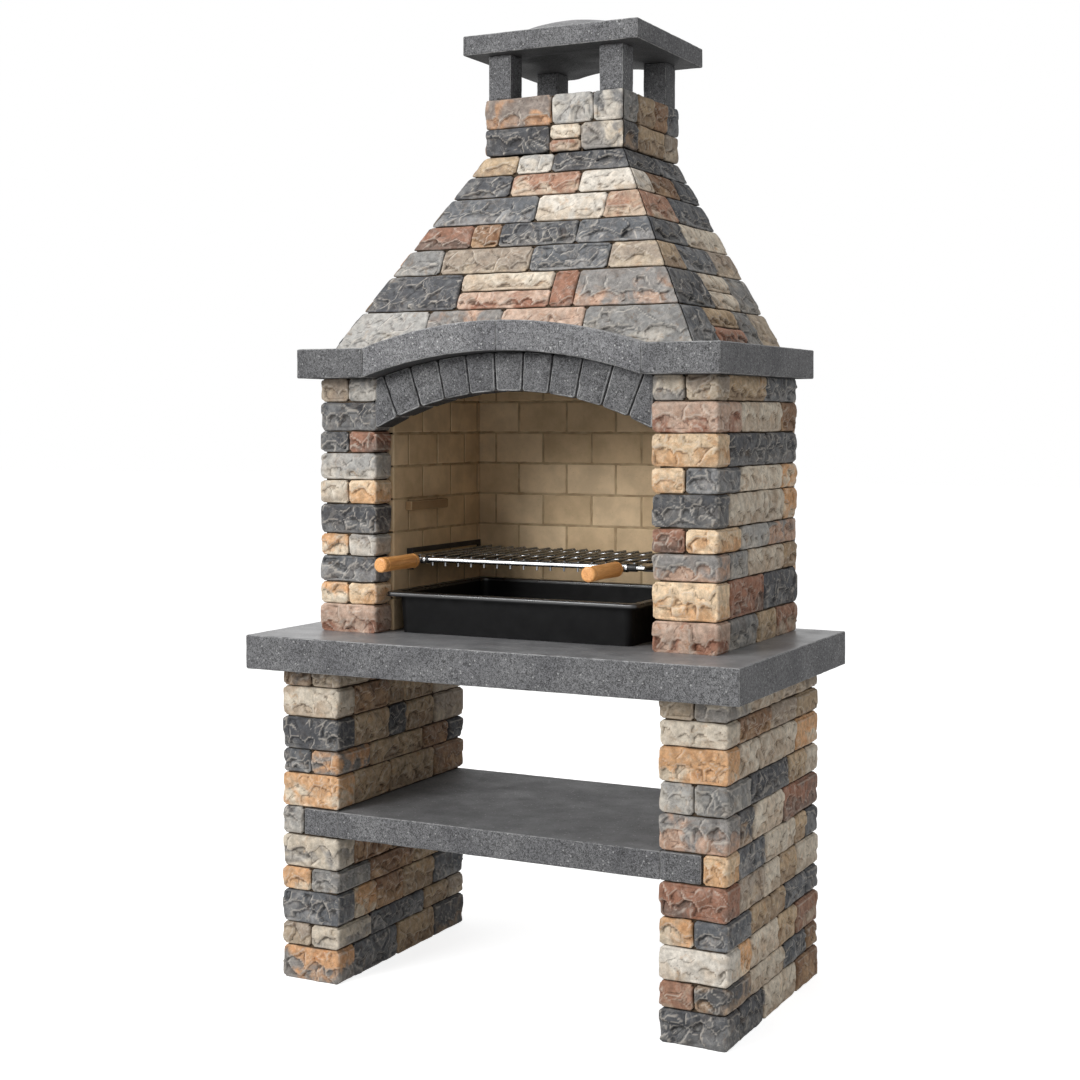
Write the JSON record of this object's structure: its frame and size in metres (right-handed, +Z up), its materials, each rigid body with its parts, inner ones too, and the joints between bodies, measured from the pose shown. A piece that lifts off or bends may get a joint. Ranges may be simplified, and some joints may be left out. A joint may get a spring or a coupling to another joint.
{
  "type": "masonry barbecue",
  "caption": "Free-standing stone barbecue with legs and a shelf, a firebox under a flat arch, a tapering hood with a capped chimney, a sliding grill with folding handles and an ember tray.",
  "frame": {"origin": "on the floor, in the middle of the width and of the whole depth", "axes": "+Z up, +X to the right seen from the front, +Y to the back"},
  "size_m": [1.21, 0.744, 2.26],
  "materials": {
    "split_stone": "rough split face",
    "mortar": "matte",
    "cast_concrete": "matte, speckled",
    "firebrick": "matte",
    "black_steel": "satin black",
    "chrome": "bright plated",
    "wood": "turned, lacquered"
  },
  "bodies": {
    "masonry": {"arch_voussoirs": "cast_concrete", "cap_post_front_left": "cast_concrete", "cap_post_front_right": "cast_concrete", "cap_post_rear_left": "cast_concrete", "cap_post_rear_right": "cast_concrete", "chimney_cap": "cast_concrete", "chimney_front_core": "mortar", "chimney_left_core": "mortar", "chimney_rear_core": "mortar", "chimney_right_core": "mortar", "chimney_stones": "split_stone", "hood_front_core": "mortar", "hood_front_stones": "split_stone", "hood_left_core": "mortar", "hood_left_stones": "split_stone", "hood_rear_core": "mortar", "hood_rear_stones": "split_stone", "hood_right_core": "mortar", "hood_right_stones": "split_stone", "left_firebricks": "firebrick", "left_grill_ledge": "firebrick", "left_grill_rail": "black_steel", "left_leg_core": "mortar", "left_leg_stones": "split_stone", "left_pier_core": "mortar", "left_pier_stones": "split_stone", "mantel_arch_left": "cast_concrete", "mantel_arch_right": "cast_concrete", "mantel_left": "cast_concrete", "mantel_rear": "cast_concrete", "mantel_right": "cast_concrete", "rear_firebricks": "firebrick", "rear_wall_core": "mortar", "rear_wall_stones": "split_stone", "right_firebricks": "firebrick", "right_grill_ledge": "firebrick", "right_grill_rail": "black_steel", "right_leg_core": "mortar", "right_leg_stones": "split_stone", "right_pier_core": "mortar", "right_pier_stones": "split_stone", "shelf_left_end": "cast_concrete", "shelf_right_end": "cast_concrete", "shelf_slab": "cast_concrete", "worktop_slab": "cast_concrete"},
    "grill": {"grill_front_bar": "chrome", "grill_rear_bar": "chrome", "grill_side_rods": "chrome", "grill_cross_rods": "chrome", "grill_wires": "chrome", "bar_collars": "black_steel"},
    "left_handle": {"left_handle_tang": "chrome", "left_handle_grip": "wood"},
    "right_handle": {"right_handle_tang": "chrome", "right_handle_grip": "wood"},
    "tray": {"ember_tray": "black_steel"}
  },
  "joints": [
    {"name": "grill_slide", "type": "slide", "parent": "masonry", "child": "grill", "axis": [0, -1, 0], "range_m": [0, 0.25]},
    {"name": "left_handle_fold", "type": "hinge", "parent": "grill", "child": "left_handle", "pos_m": [-0.277, -0.119, 0.9683], "axis": [-1, 0, 0], "range_deg": [0, 110]},
    {"name": "right_handle_fold", "type": "hinge", "parent": "grill", "child": "right_handle", "pos_m": [0.241, -0.119, 0.9683], "axis": [-1, 0, 0], "range_deg": [0, 110]},
    {"name": "tray_slide", "type": "slide", "parent": "masonry", "child": "tray", "axis": [0, -1, 0], "range_m": [0, 0.36]}
  ]
}
